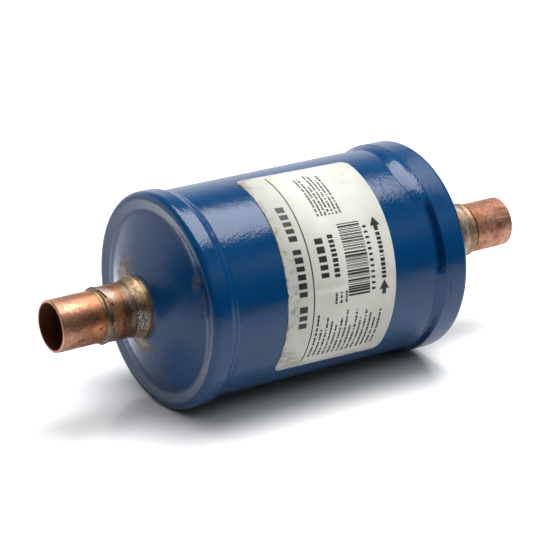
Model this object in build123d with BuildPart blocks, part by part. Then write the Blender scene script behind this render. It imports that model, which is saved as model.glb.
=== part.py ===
"""Hermetic filter drier for a refrigerant line, brazed copper sockets, lying with its axis along X.

Flow runs from the inlet socket (-X) to the outlet socket (+X). The origin is on the axis, midway
between the two socket mouths. +Z is up. All sizes are millimetres.

Each end is drawn in an end plane: its origin is where the axis meets the crest of the cap's rim,
its local x points outward along the axis and its local y is the radius.
"""

import os
from math import cos, hypot, pi, radians, sin, sqrt, tan

from build123d import *

os.makedirs("parts", exist_ok=True)

# ---------------------------------------------------------------- driving dimensions
# body
body_length = 105.3           # rim crest to rim crest
inlet_standout = 40.3         # inlet socket mouth beyond its rim crest
outlet_standout = 43.5        # outlet socket mouth beyond its rim crest
shell_radius = 36.5           # outside of the shell tube, 73 mm across
shell_wall = 1.5
shell_inset = 3.0             # shell end inside the rim crest

# end caps, pressed sheet that fits over the shell
cap_sheet = 1.3
cap_clearance = 0.05          # skirt over shell, and neck over nipple
inlet_skirt = 6.5             # skirt end inside the rim crest
outlet_skirt = 10.0
rim_radius = 2.3
rim_fall = radians(12)        # rim face falls inward to the groove
groove_inset = 6.65           # middle of the annular groove inside the skirt's outside
groove_radius = 3.5
shoulder_share = 0.522        # where the dome eases, between neck and groove
shoulder_height = 3.4         # above the rim crest
dome_radius = 90.0
neck_foot = 6.8               # where the dome meets the neck, above the rim crest
neck_top = 8.75
neck_fillet = 1.5

# weld beads, cap skirt to shell
inlet_weld_leg = 3.9
outlet_weld_leg = 3.4
weld_crest_drop = 0.1         # weld crest under the skirt's outside
weld_start_drop = 0.4         # weld start under the skirt's outside
weld_crest_share = 0.5        # crest's place along the leg

# copper socket tubes and the steel nipples that hold them
socket_bore = 8.0             # radius, takes 5/8 in line
socket_wall = 1.0
socket_depth = 16.0           # straight bore to its stop
socket_show = 17.0            # mouth to the nipple's end
mouth_chamfer = 0.25
spigot_length = 10.0          # reduced end inside the nipple
spigot_clearance = 0.05
nipple_wall = 1.5
nipple_grip = 6.0             # nipple's inner end inside the top of the neck
nipple_chamfer = 0.4

# braze rings
neck_braze_length = 3.8
neck_braze_drop = 0.1         # starts under the edge of the neck
neck_braze_hollow = 0.3
tube_braze_front = 2.0        # over the tube
tube_braze_back = 1.5         # over the nipple
tube_braze_crest = 0.3        # above the nipple

# label, a foil wrapped on the shell
label_width = 44.8            # along the axis
label_height = 81.5           # round the shell
label_thickness = 0.15
label_corner = 3.0
label_skew = radians(3)       # applied slightly askew
label_middle_x = -1.7
label_middle_angle = radians(25)    # above the -Y direction

# outlet plate, seal, felt pad and core
plate_sheet = 1.2
bore_clearance = 0.3          # plates inside the shell
plate_flange = 5.0
plate_bend = 0.8              # inside radius of the plates' bends
hole_radius = 1.8
hole_pitch = 6.0
hole_margin = 1.5             # plain rim of the pad outside the last ring of holes
seal_thickness = 3.0
seal_lap = 9.0                # seal on the core's end, outside the pad
pad_clearance = 0.2
core_passage = 4.0            # annular passage between core and shell
core_length = 72.0
core_chamfer = 1.5
core_bore = 9.0
core_bore_depth = 52.0

# spring and its plate
spring_sheet = 1.0
spring_plate_hole = 8.0
spring_plate_flange = 4.0
core_clearance = 0.3          # flange round the core
ear_count = 4                 # ears between the flange's segments, centring the plate in the shell
ear_width = 9.0
ear_relief = 0.8              # slot each side of an ear
bead_height = 0.9
spring_wire = 2.2             # diameter
spring_turns = 5.0
spring_flat = 0.5             # turns that lie flat at each end
spring_blend = 0.06           # share of the rise that eases in and out
spring_clearance = 0.35       # small coil round the nipple
spring_inset = 4.0            # large coil's middle inside the core's radius
spring_points = 14            # path points in each turn
seat_clearance = 0.02

# ---------------------------------------------------------------- places worked out from them
overall_length = inlet_standout + body_length + outlet_standout
inlet_crest_x = -overall_length / 2 + inlet_standout
outlet_crest_x = overall_length / 2 - outlet_standout
inlet_end = Plane(origin=(inlet_crest_x, 0, 0), x_dir=(-1, 0, 0), z_dir=(0, 0, -1))
outlet_end = Plane(origin=(outlet_crest_x, 0, 0), x_dir=(1, 0, 0), z_dir=(0, 0, 1))

shell_bore = shell_radius - shell_wall
cap_radius = shell_radius + cap_clearance + cap_sheet
tube_radius = socket_bore + socket_wall
spigot_bore = socket_bore - socket_wall
nipple_bore = socket_bore + spigot_clearance
nipple_radius = nipple_bore + nipple_wall
neck_bore = nipple_radius + cap_clearance
neck_radius = neck_bore + cap_sheet

groove_middle = cap_radius - groove_inset
shoulder_middle = neck_radius + (groove_middle - neck_radius) * shoulder_share
rim_corner = rim_radius * (1 / cos(rim_fall) + tan(rim_fall) - 1)
groove_corner = rim_corner - (cap_radius - groove_middle) * tan(rim_fall)
dome_slope = (shoulder_height - groove_corner) / (groove_middle - shoulder_middle)
dome_rise = hypot(1, dome_slope)
neck_slope = (neck_foot - shoulder_height) / (shoulder_middle - neck_radius)
groove_shift = groove_radius * (dome_rise - 1 / cos(rim_fall)) / (tan(rim_fall) + dome_slope)
groove_floor = (
    groove_corner + groove_radius / cos(rim_fall) + groove_shift * tan(rim_fall) - groove_radius
)
plate_seat = groove_floor - cap_sheet             # ridge under the groove, inside the cap
core_outlet = plate_seat - plate_sheet - seal_thickness
core_outlet_x = outlet_crest_x + core_outlet
core_inlet_x = core_outlet_x - core_length
core_radius = shell_bore - core_passage
pad_radius = core_radius - seal_lap
hole_rings = int((pad_radius - hole_margin - hole_radius) / hole_pitch)
spring_large_radius = core_radius - spring_inset


# ---------------------------------------------------------------- end pieces, same form both ends
def build_cap(end, skirt):
    """Pressed cap: skirt over the shell, rim, annular groove, dome and neck, all one sheet."""
    with BuildPart() as cap:
        with BuildSketch(end):
            with BuildLine():
                FilletPolyline(
                    (-skirt, cap_radius),
                    (rim_corner, cap_radius),
                    (groove_corner, groove_middle),
                    (shoulder_height, shoulder_middle),
                    (neck_foot, neck_radius),
                    (neck_top, neck_radius),
                    radius=(rim_radius, groove_radius, dome_radius, neck_fillet),
                )
                offset(amount=cap_sheet, side=Side.RIGHT)
            make_face()
        revolve(axis=Axis.X)
    return cap.part


def build_weld(end, skirt, leg):
    """Fillet weld from the skirt's end down to the shell, with a full, rounded face."""
    start = (-skirt, cap_radius - weld_start_drop)
    crest = (-skirt - leg * weld_crest_share, cap_radius - weld_crest_drop)
    toe = (-skirt - leg, shell_radius)
    with BuildPart() as weld:
        with BuildSketch(end):
            with BuildLine():
                ThreePointArc(start, crest, toe)
                Polyline(toe, (-skirt, shell_radius), start)
            make_face()
        revolve(axis=Axis.X)
    return weld.part


def build_nipple(end, standout):
    """Steel nipple through the cap's neck, up to the shoulder of the socket tube."""
    inner = neck_top - nipple_grip
    outer = standout - socket_show
    with BuildPart() as nipple:
        with BuildSketch(end):
            with BuildLine():
                Polyline(
                    (inner, nipple_bore),
                    (inner, nipple_radius - nipple_chamfer),
                    (inner + nipple_chamfer, nipple_radius),
                    (outer, nipple_radius),
                    (outer, nipple_bore),
                    close=True,
                )
            make_face()
        revolve(axis=Axis.X)
    return nipple.part


def build_tube(end, standout):
    """Copper tube: straight socket, then a reduced spigot that goes into the nipple."""
    shoulder = standout - socket_show
    stop = standout - socket_depth
    inner = shoulder - spigot_length
    with BuildPart() as tube:
        with BuildSketch(end):
            with BuildLine():
                Polyline(
                    (inner, spigot_bore),
                    (inner, socket_bore),
                    (shoulder, socket_bore),
                    (shoulder, tube_radius),
                    (standout - mouth_chamfer, tube_radius),
                    (standout, tube_radius - mouth_chamfer),
                    (standout, socket_bore),
                    (stop, socket_bore),
                    (stop, spigot_bore),
                    close=True,
                )
            make_face()
        revolve(axis=Axis.X)
    return tube.part


def build_neck_braze(end):
    """Ring of braze between the top of the cap's neck and the nipple."""
    start = (neck_top, neck_radius - neck_braze_drop)
    toe = (neck_top + neck_braze_length, nipple_radius)
    with BuildPart() as braze:
        with BuildSketch(end):
            with BuildLine():
                SagittaArc(start, toe, -neck_braze_hollow)
                Polyline(toe, (neck_top, nipple_radius), start)
            make_face()
        revolve(axis=Axis.X)
    return braze.part


def build_tube_braze(end, standout):
    """Ring of braze over the step between the nipple's end and the socket tube."""
    step = standout - socket_show
    front = (step + tube_braze_front, tube_radius)
    crest = (step, nipple_radius + tube_braze_crest)
    back = (step - tube_braze_back, nipple_radius)
    with BuildPart() as braze:
        with BuildSketch(end):
            with BuildLine():
                ThreePointArc(front, crest, back)
                Polyline(back, (step, nipple_radius), (step, tube_radius), front)
            make_face()
        revolve(axis=Axis.X)
    return braze.part


# ---------------------------------------------------------------- shell and label
def build_shell():
    """Plain shell tube between the two caps."""
    start = inlet_crest_x + shell_inset
    with BuildPart() as shell:
        with BuildSketch(Plane.YZ.offset(start)):
            Circle(shell_radius)
            Circle(shell_bore, mode=Mode.SUBTRACT)
        extrude(amount=body_length - 2 * shell_inset)
    return shell.part


def label_plane(along, around):
    """Plane against the shell at a place on the unrolled label, x across it and y up its height."""
    shift = along * cos(label_skew) + around * sin(label_skew)
    lift = around * cos(label_skew) - along * sin(label_skew)
    angle = label_middle_angle + lift / shell_radius
    radial = Vector(0, -cos(angle), sin(angle))
    upward = Vector(0, sin(angle), cos(angle))
    return Plane(
        origin=Vector(label_middle_x + shift, 0, 0) + radial * shell_radius,
        x_dir=Vector(1, 0, 0) * cos(label_skew) - upward * sin(label_skew),
        z_dir=radial,
    )


def build_label():
    """Foil label: a band on the shell, cut along its four edges, with its corners rounded."""
    half_width = label_width / 2
    half_height = label_height / 2
    blank = label_width + label_height * sin(label_skew)
    with BuildPart() as label:
        with BuildSketch(Plane.YZ.offset(label_middle_x - blank)):
            Circle(shell_radius + label_thickness)
            Circle(shell_radius, mode=Mode.SUBTRACT)
        extrude(amount=2 * blank)
        for side in (1, -1):
            across = label_plane(side * half_width, 0)
            split(bisect_by=Plane(across.origin, z_dir=across.x_dir * side), keep=Keep.BOTTOM)
            upright = label_plane(0, side * half_height)
            split(bisect_by=Plane(upright.origin, z_dir=upright.y_dir * side), keep=Keep.BOTTOM)
        for side_x, align_x in ((1, Align.MIN), (-1, Align.MAX)):
            for side_y, align_y in ((1, Align.MIN), (-1, Align.MAX)):
                corner_x = side_x * (half_width - label_corner)
                corner_y = side_y * (half_height - label_corner)
                with BuildSketch(label_plane(corner_x, corner_y)):
                    Rectangle(2 * label_corner, 2 * label_corner, align=(align_x, align_y))
                    Circle(label_corner, mode=Mode.SUBTRACT)
                extrude(amount=label_corner, both=True, mode=Mode.SUBTRACT)
    return label.part


# ---------------------------------------------------------------- filter parts inside
def build_outlet_plate():
    """Pressed cup behind the seal and pad, with rings of holes over the outlet."""
    radius = shell_bore - bore_clearance
    with BuildPart() as plate:
        with BuildSketch(outlet_end):
            with BuildLine():
                FilletPolyline(
                    (plate_seat - plate_flange, radius),
                    (plate_seat, radius),
                    (plate_seat, 0),
                    radius=(plate_bend + plate_sheet,),
                )
                offset(amount=plate_sheet, side=Side.RIGHT)
            make_face()
        revolve(axis=Axis.X)
        with Locations(Plane.YZ.offset(outlet_crest_x + plate_seat)):
            Hole(hole_radius)
            for ring in range(1, hole_rings + 1):
                with PolarLocations(ring * hole_pitch, 6 * ring):
                    Hole(hole_radius)
    return plate.part


def build_core_seal():
    """Fibre ring that seals the core's end to the outlet plate, so nothing bypasses the core."""
    seal_radius = shell_bore - bore_clearance - plate_sheet - pad_clearance
    with BuildPart() as seal:
        with BuildSketch(Plane.YZ.offset(core_outlet_x)):
            Circle(seal_radius)
            Circle(pad_radius + pad_clearance, mode=Mode.SUBTRACT)
        extrude(amount=seal_thickness)
        rim = seal.edges().group_by(Axis.X)[-1].sort_by(SortBy.RADIUS)[-1]
        fillet(rim, radius=plate_bend)
    return seal.part


def build_filter_pad():
    """Felt disc that holds back dust, inside the seal ring."""
    with BuildPart() as pad:
        with BuildSketch(Plane.YZ.offset(core_outlet_x)):
            Circle(pad_radius)
        extrude(amount=seal_thickness)
    return pad.part


def build_core():
    """Moulded desiccant block with a blind bore open to the outlet."""
    with BuildPart() as core:
        with BuildSketch(Plane.YZ.offset(core_inlet_x)):
            Circle(core_radius)
        extrude(amount=core_length)
        chamfer(core.edges(), length=core_chamfer)
        with BuildSketch(Plane.XY):
            with BuildLine():
                bottom_x = core_outlet_x - core_bore_depth
                Polyline(
                    (bottom_x, 0),
                    (core_outlet_x, 0),
                    (core_outlet_x, core_bore),
                    (bottom_x + core_bore, core_bore),
                )
                RadiusArc((bottom_x + core_bore, core_bore), (bottom_x, 0), -core_bore)
            make_face()
        revolve(axis=Axis.X, mode=Mode.SUBTRACT)
    return core.part


def build_spring_plate():
    """Pressed plate that centres the core and spreads the spring's load, notched for the flow."""
    radius = core_radius + core_clearance + spring_sheet
    bead_outside = spring_large_radius - spring_wire / 2 - spring_clearance
    bead_slope = bead_height + spring_sheet
    flange_root = plate_bend + spring_sheet
    face = Plane(origin=(core_inlet_x - spring_sheet, 0, 0), x_dir=(-1, 0, 0), z_dir=(0, 0, -1))
    with BuildPart() as plate:
        with BuildSketch(face):
            with BuildLine():
                FilletPolyline(
                    (-spring_plate_flange, radius),
                    (0, radius),
                    (0, bead_outside),
                    (bead_height, bead_outside - bead_slope),
                    (bead_height, spring_plate_hole),
                    radius=(flange_root, plate_bend, plate_bend),
                )
                offset(amount=spring_sheet, side=Side.RIGHT)
            make_face()
        revolve(axis=Axis.X)
        with BuildSketch(Plane.YZ.offset(core_inlet_x - spring_sheet)):
            with PolarLocations(radius, ear_count):
                Rectangle(2 * flange_root, ear_width + 2 * ear_relief)
        extrude(amount=spring_sheet + spring_plate_flange, mode=Mode.SUBTRACT)
        with BuildSketch(Plane.YZ.offset(core_inlet_x - spring_sheet)):
            with PolarLocations(radius - 2 * flange_root, ear_count):
                Rectangle(shell_bore, ear_width, align=(Align.MIN, Align.CENTER))
            Circle(shell_bore - bore_clearance, mode=Mode.INTERSECT)
        extrude(amount=spring_sheet)
    return plate.part


def spring_rise(share):
    """Share of the way from the large to the small coil, eased at both ends, 0 to 1."""
    if share < spring_blend:
        return share**2 / (2 * spring_blend * (1 - spring_blend))
    if share > 1 - spring_blend:
        return 1 - spring_rise(1 - share)
    return (share - spring_blend / 2) / (1 - spring_blend)


def build_spring():
    """Conical compression spring: large coil on its plate, small coil round the nipple in the dome."""
    small_radius = nipple_radius + spring_clearance + spring_wire / 2
    backing = cap_sheet + spring_wire / 2 + seat_clearance
    small_height = (
        neck_foot - (small_radius - neck_radius) * neck_slope - backing * hypot(1, neck_slope)
    )
    small_x = inlet_crest_x - small_height
    large_x = core_inlet_x - spring_sheet - spring_wire / 2 - seat_clearance
    points = []
    for index in range(round(spring_turns * spring_points) + 1):
        turn = index / spring_points
        share = (turn - spring_flat) / (spring_turns - 2 * spring_flat)
        rise = spring_rise(min(max(share, 0), 1))
        radius = spring_large_radius + (small_radius - spring_large_radius) * rise
        x = large_x + (small_x - large_x) * rise
        points.append((x, radius * sin(2 * pi * turn), radius * cos(2 * pi * turn)))
    with BuildPart() as spring:
        with BuildLine() as path:
            Spline(*points)
        with BuildSketch(Plane(origin=path.line @ 0, z_dir=path.line % 0)):
            Circle(spring_wire / 2)
        sweep(path=path.line)
    return spring.part


# ---------------------------------------------------------------- build and write every piece
def finish(part, name):
    """Label a piece and write it to its own STEP file."""
    part.label = name
    export_step(part, f"parts/{name}.step")


ends = (
    ("inlet", inlet_end, inlet_standout, inlet_skirt, inlet_weld_leg),
    ("outlet", outlet_end, outlet_standout, outlet_skirt, outlet_weld_leg),
)
for side, end, standout, skirt, leg in ends:
    finish(build_cap(end, skirt), f"{side}_cap")
    finish(build_weld(end, skirt, leg), f"{side}_cap_weld")
    finish(build_nipple(end, standout), f"{side}_nipple")
    finish(build_tube(end, standout), f"{side}_tube")
    finish(build_neck_braze(end), f"{side}_nipple_braze")
    finish(build_tube_braze(end, standout), f"{side}_tube_braze")

finish(build_shell(), "shell_tube")
finish(build_label(), "label")
finish(build_outlet_plate(), "outlet_plate")
finish(build_core_seal(), "core_seal")
finish(build_filter_pad(), "filter_pad")
finish(build_core(), "desiccant_core")
finish(build_spring_plate(), "spring_plate")
finish(build_spring(), "compression_spring")
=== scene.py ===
# %% [markdown]
# # A filter drier, dressed for a studio picture
# The metal parts come packed from CAD, in metres, lying along X with the inlet at -X.
# This lesson gives them their finishes: glossy paint, uneven weld beads, tarnished copper,
# brazed joints and a printed foil label.
# Angles round the body are in degrees, 0 at the front (-Y) and 90 at the top.

# %% Load the frame
import math
import random

import bmesh
import bpy
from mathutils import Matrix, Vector, noise


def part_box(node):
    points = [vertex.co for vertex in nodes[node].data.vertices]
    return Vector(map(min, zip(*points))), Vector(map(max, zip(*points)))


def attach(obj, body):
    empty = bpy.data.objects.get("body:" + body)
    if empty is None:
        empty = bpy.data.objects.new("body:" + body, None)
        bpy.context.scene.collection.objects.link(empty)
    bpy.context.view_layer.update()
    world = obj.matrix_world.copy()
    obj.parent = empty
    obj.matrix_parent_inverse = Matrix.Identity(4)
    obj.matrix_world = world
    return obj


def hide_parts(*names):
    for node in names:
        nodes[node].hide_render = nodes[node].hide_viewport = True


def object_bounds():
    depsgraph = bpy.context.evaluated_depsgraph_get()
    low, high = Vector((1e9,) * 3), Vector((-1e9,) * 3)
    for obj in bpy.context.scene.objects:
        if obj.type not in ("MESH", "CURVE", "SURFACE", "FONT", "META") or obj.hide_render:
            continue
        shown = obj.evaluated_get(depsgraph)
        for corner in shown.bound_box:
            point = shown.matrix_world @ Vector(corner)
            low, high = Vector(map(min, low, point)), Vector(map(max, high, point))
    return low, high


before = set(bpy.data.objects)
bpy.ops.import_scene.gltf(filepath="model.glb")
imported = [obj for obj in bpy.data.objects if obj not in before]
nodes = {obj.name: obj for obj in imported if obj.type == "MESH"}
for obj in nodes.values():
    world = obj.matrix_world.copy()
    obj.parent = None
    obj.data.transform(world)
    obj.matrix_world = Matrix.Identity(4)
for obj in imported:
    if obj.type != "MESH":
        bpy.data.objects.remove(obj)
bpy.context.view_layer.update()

# %% [markdown]
# ## Sizes taken from the frame
# Shapes are written in millimetres and brought to metres when they become meshes. What a piece
# seats on is measured from the CAD node itself.

# %% Sizes
MM = 0.001


def along_x(node):
    """Where a node starts and ends along X, in millimetres."""
    low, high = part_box(node)
    return low.x / MM, high.x / MM


def outside(node):
    """A turned node's outside radius, in millimetres."""
    low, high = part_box(node)
    return (high.z - low.z) / 2 / MM


INLET_MOUTH = along_x("inlet_tube")[0]
OUTLET_MOUTH = along_x("outlet_tube")[1]
TUBE_RADIUS = outside("inlet_tube")
NIPPLE_RADIUS = outside("inlet_nipple")
SHELL_RADIUS = outside("shell_tube")
CAP_RADIUS = outside("inlet_cap")
INLET_CAP, INLET_SKIRT = along_x("inlet_cap")
OUTLET_SKIRT, OUTLET_CAP = along_x("outlet_cap")
INLET_STEP = along_x("inlet_nipple")[0]
OUTLET_STEP = along_x("outlet_nipple")[1]
NECK_EDGE = 0.1  # the solid fillet starts this far inside the neck's edge
NECK_RADIUS = outside("inlet_nipple_braze") + NECK_EDGE
print("shell radius:", round(SHELL_RADIUS, 2))
print("inlet step:", round(INLET_STEP, 2), "neck top:", round(INLET_CAP, 2))

# %% [markdown]
# ## The camera
# It stands to the left, in front and a little above, far away with a long lens, so the can's
# ellipses stay close to true ones. It is placed by its azimuth, elevation and distance.

# %% Camera
CAMERA_AZIMUTH = math.radians(-34.256)
CAMERA_ELEVATION = math.radians(20.426)
CAMERA_DISTANCE = 822.5 * MM
CAMERA_TARGET = Vector((-5.23, 0, -0.506)) * MM
LENS = 154.15


def direction(azimuth, elevation):
    """Unit vector from the target towards a viewer, azimuth 0 being straight in front, at -Y."""
    flat = math.cos(elevation)
    return Vector((math.sin(azimuth) * flat, -math.cos(azimuth) * flat, math.sin(elevation)))


camera = bpy.data.objects.new("camera", bpy.data.cameras.new("camera"))
bpy.context.collection.objects.link(camera)
back = direction(CAMERA_AZIMUTH, CAMERA_ELEVATION)
camera.location = CAMERA_TARGET + back * CAMERA_DISTANCE
camera.rotation_euler = back.to_track_quat("Z", "Y").to_euler()
camera.data.lens = LENS
camera.data.sensor_width = 36
camera.data.clip_start = 0.01
bpy.context.scene.camera = camera
print("camera at", camera.location[:])

# %% [markdown]
# ## Shader helpers
# Every finish is built from the same few moves: noise of a given lump size, a value taken from one
# range to another, a mix, and a patch with a ragged edge at a place on the object.

# %% Shader helpers
def node_tree(owner):
    """An empty node tree on a material or world."""
    owner.use_nodes = True
    owner.node_tree.nodes.clear()
    return owner.node_tree


def feed(tree, socket, value):
    """Link a socket to another one, or set it to a number or colour."""
    if isinstance(value, bpy.types.NodeSocket):
        tree.links.new(value, socket)
    elif isinstance(value, tuple) and socket.type == "RGBA":
        socket.default_value = (*value, 1)
    else:
        socket.default_value = value


def add(tree, kind, **values):
    """One shader node, with its settings and inputs given by name."""
    made = tree.nodes.new("ShaderNode" + kind)
    for name, value in values.items():
        if hasattr(made, name):
            setattr(made, name, value)
        else:
            feed(tree, made.inputs[name.replace("_", " ")], value)
    return made


def grain(tree, place, size, seed=0.0, detail=3.0):
    """Noise from 0 to 1 with lumps size millimetres across."""
    made = add(tree, "TexNoise", noise_dimensions="4D")
    for name, value in (("Vector", place), ("W", seed), ("Scale", 1 / (size * MM)), ("Detail", detail)):
        feed(tree, made.inputs[name], value)
    return made.outputs[0]


def ramp(tree, value, low, high, start=0.0, end=1.0):
    """value eased from start, at low, to end, at high."""
    made = add(tree, "MapRange", interpolation_type="SMOOTHSTEP")
    ends = {"Value": value, "From Min": low, "From Max": high, "To Min": start, "To Max": end}
    for name, given in ends.items():
        feed(tree, made.inputs[name], given)
    return made.outputs[0]


def parts(tree, vector):
    """The three sockets X, Y and Z of a vector."""
    split = add(tree, "SeparateXYZ")
    tree.links.new(vector, split.inputs[0])
    return split.outputs


def distance(tree, vector):
    """How far a place is from the origin, in metres."""
    made = add(tree, "VectorMath", operation="LENGTH")
    tree.links.new(vector, made.inputs[0])
    return made.outputs["Value"]


def along(tree, place, start, end):
    """0 to 1 in a straight line along X, from start to end in millimetres."""
    made = add(tree, "MapRange")
    ends = {"Value": parts(tree, place)["X"], "From Min": start * MM, "From Max": end * MM}
    for name, given in ends.items():
        feed(tree, made.inputs[name], given)
    return made.outputs[0]


def stretched(tree, place, scale):
    """Coordinates scaled along each axis, for noise that runs in streaks."""
    made = add(tree, "Mapping")
    tree.links.new(place, made.inputs["Vector"])
    made.inputs["Scale"].default_value = scale
    return made.outputs[0]


def calc(tree, operation, first, second=0.0, third=0.0):
    """A sum on one to three values."""
    made = add(tree, "Math", operation=operation)
    for socket, value in zip(made.inputs, (first, second, third)):
        feed(tree, socket, value)
    return made.outputs[0]


def times(tree, first, *others):
    """The product of two or more values."""
    for other in others:
        first = calc(tree, "MULTIPLY", first, other)
    return first


def mix(tree, mask, first, second):
    """first where the mask is 0 and second where it is 1."""
    color = any(isinstance(end, tuple) or getattr(end, "type", "") == "RGBA" for end in (first, second))
    made = add(tree, "Mix", data_type="RGBA" if color else "FLOAT")
    skip = 6 if color else 2
    feed(tree, made.inputs[0], mask)
    feed(tree, made.inputs[skip], first)
    feed(tree, made.inputs[skip + 1], second)
    return made.outputs[2 if color else 0]


def colors(tree, value, *stops):
    """A colour ramp from (place, colour) stops."""
    made = add(tree, "ValToRGB")
    feed(tree, made.inputs[0], value)
    elements = made.color_ramp.elements
    while len(elements) < len(stops):
        elements.new(0.5)
    for element, (where, color) in zip(elements, stops):
        element.position = where
        element.color = (*color, 1)
    return made.outputs[0]


def patch(tree, place, centre, reach, ragged=0.35, seed=0.0, soft=0.5):
    """1 inside an egg-shaped place of half-widths reach, in millimetres, fading across a ragged edge."""
    near = add(tree, "Mapping")
    feed(tree, near.inputs["Vector"], place)
    near.inputs["Scale"].default_value = [1 / (half * MM) for half in reach]
    near.inputs["Location"].default_value = [-middle / half for middle, half in zip(centre, reach)]
    broken = ramp(tree, grain(tree, place, min(reach) * 0.7, seed), 0.2, 0.8, -ragged, ragged)
    away = calc(tree, "ADD", distance(tree, near.outputs[0]), broken)
    return ramp(tree, away, 1 + soft, 1 - soft)


def begin(name):
    """A new material's look, its tree and its Object coordinates."""
    look = bpy.data.materials.new(name)
    tree = node_tree(look)
    return look, tree, add(tree, "TexCoord").outputs["Object"]


def shade(tree, color, rough, metallic=0.0, relief=None, depth=0.05, specular=0.5):
    """The principled surface that ends a look. relief is a height from 0 to 1 and depth its millimetres."""
    shader = add(tree, "BsdfPrincipled")
    feed(tree, shader.inputs["Base Color"], color)
    feed(tree, shader.inputs["Roughness"], rough)
    feed(tree, shader.inputs["Metallic"], metallic)
    feed(tree, shader.inputs["Specular IOR Level"], specular)
    if relief:
        bump = add(tree, "Bump", Strength=1.0, Distance=depth * MM)
        feed(tree, bump.inputs["Height"], relief)
        tree.links.new(bump.outputs[0], shader.inputs["Normal"])
    output = add(tree, "OutputMaterial")
    tree.links.new(shader.outputs[0], output.inputs[0])


def spot(x, angle, radius):
    """A place in millimetres, x along the axis and an angle round it."""
    turn = math.radians(angle)
    return x, -radius * math.cos(turn), radius * math.sin(turn)


# %% [markdown]
# ## Floor, room and lamps
# Glossy paint shows its surroundings, so the room matters as much as the lamps. The floor and the
# wall behind are white, and the room in front and to the left is dark. One round soft box hangs
# overhead, a little to the right. Its hot core and a wide, weak fill stay out of the reflections.
# The camera sees the paper and backdrop as pure white. In reflections the paper is greyer: it is
# brightest in a strip just behind the can, and in front it fades away with distance.

# %% Floor
FLOOR_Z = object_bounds()[0][2]
FLOOR_SIZE = 12.0
PAPER = (0.93, 0.932, 0.935)
STRIP_PAPER = (1.0, 1.0, 1.0)
REFLECTED_PAPER = (0.60, 0.605, 0.615)
UNLIT = (0.0, 0.0, 0.0)
STRIP_FRONT = (0.03, 0.08)
STRIP_BACK = (0.20, 0.12)
FADE_ROUND = (0.12, 0.55)
FADE_FRONT = (0.12, 0.40)
LEAST_LIT = 0.03

floor_mesh = bpy.data.meshes.new("floor")
plane = bmesh.new()
bmesh.ops.create_grid(plane, x_segments=1, y_segments=1, size=FLOOR_SIZE / 2)
bmesh.ops.translate(plane, verts=plane.verts, vec=(0, 0, FLOOR_Z))
plane.to_mesh(floor_mesh)
plane.free()
floor = bpy.data.objects.new("floor", floor_mesh)
bpy.context.collection.objects.link(floor)
floor_paper, tree, place = begin("floor_paper")
depth_way = parts(tree, place)["Y"]
strip = times(tree, ramp(tree, depth_way, *STRIP_FRONT), ramp(tree, depth_way, *STRIP_BACK))
close_by = ramp(tree, distance(tree, place), *FADE_ROUND, 1.0, LEAST_LIT)
lit = calc(tree, "MAXIMUM", close_by, ramp(tree, depth_way, *FADE_FRONT))
reflected = mix(tree, lit, UNLIT, mix(tree, strip, REFLECTED_PAPER, STRIP_PAPER))
in_reflection = add(tree, "LightPath").outputs["Is Glossy Ray"]
shade(tree, mix(tree, in_reflection, PAPER, reflected), 0.07)
floor_mesh.materials.append(floor_paper)
print("floor at z", round(FLOOR_Z, 5))

# %% Room
WHITE_WALL = (0.92, 0.95, 1.0)
HIGH_WALL = (0.14, 0.16, 0.18)
DARK_SIDE = (0.01, 0.015, 0.02)

room = bpy.data.worlds.new("room")
bpy.context.scene.world = room
tree = node_tree(room)
side_way, depth_way, height = parts(tree, add(tree, "TexCoord").outputs["Generated"])
behind = colors(tree, height, (0.0, WHITE_WALL), (0.30, WHITE_WALL), (0.60, HIGH_WALL))
in_front = colors(
    tree, height, (0.0, (0.0, 0.005, 0.01)), (0.27, DARK_SIDE),
    (0.42, (0.20, 0.22, 0.24)), (0.55, (0.38, 0.40, 0.42)), (0.72, (0.02, 0.03, 0.04)),
)
lit_side = mix(tree, ramp(tree, side_way, -0.75, 0.1), DARK_SIDE, in_front)
walls = mix(tree, ramp(tree, depth_way, 0.25, 0.70), lit_side, behind)
reflected = add(tree, "Background", Color=walls, Strength=1.0)
backdrop = add(tree, "Background", Color=(1.0, 1.0, 1.0), Strength=1.0)
choose = add(tree, "MixShader")
tree.links.new(add(tree, "LightPath").outputs["Is Camera Ray"], choose.inputs[0])
tree.links.new(reflected.outputs[0], choose.inputs[1])
tree.links.new(backdrop.outputs[0], choose.inputs[2])
output = add(tree, "OutputWorld")
tree.links.new(choose.outputs[0], output.inputs[0])
bpy.context.scene.view_settings.view_transform = "Standard"
print("room nodes:", len(tree.nodes))

# %% Lamps
def round_lamp(name, place, across, radiance, shown):
    """A round lamp across metres wide that looks at the origin. Only a shown one is reflected."""
    lamp = bpy.data.lights.new(name, "AREA")
    lamp.shape = "DISK"
    lamp.size = across
    lamp.energy = radiance * (math.pi * across / 2) ** 2
    holder = bpy.data.objects.new(name, lamp)
    bpy.context.collection.objects.link(holder)
    holder.location = place
    holder.rotation_euler = Vector(place).to_track_quat("Z", "Y").to_euler()
    holder.visible_glossy = shown


round_lamp("overhead_box", place=(0.18, 0.035, 0.86), across=0.84, radiance=5.6, shown=True)
round_lamp("overhead_core", place=(0.20, 0.03, 0.84), across=0.34, radiance=8.0, shown=False)
round_lamp("ceiling_fill", place=(-0.1, -0.2, 1.5), across=3.0, radiance=1.25, shown=False)
print("lamps:", len(bpy.data.lights))

# %% [markdown]
# ## Mesh helpers
# A weld or a braze is a ring of metal that froze where it ran, so its edges and crown wander round
# the joint. A plain revolve would come out perfectly round. So a ring is spun from a unit profile,
# and then each of its points is moved by a function of its place. A value kept on every point says
# how dark the metal is there; on the outlet weld it says where the enamel gets painted shade. CAD
# nodes keep their shapes and only put on a finish.

# %% Mesh helpers
RING_STEPS = 480
TINT = "tint"


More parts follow.
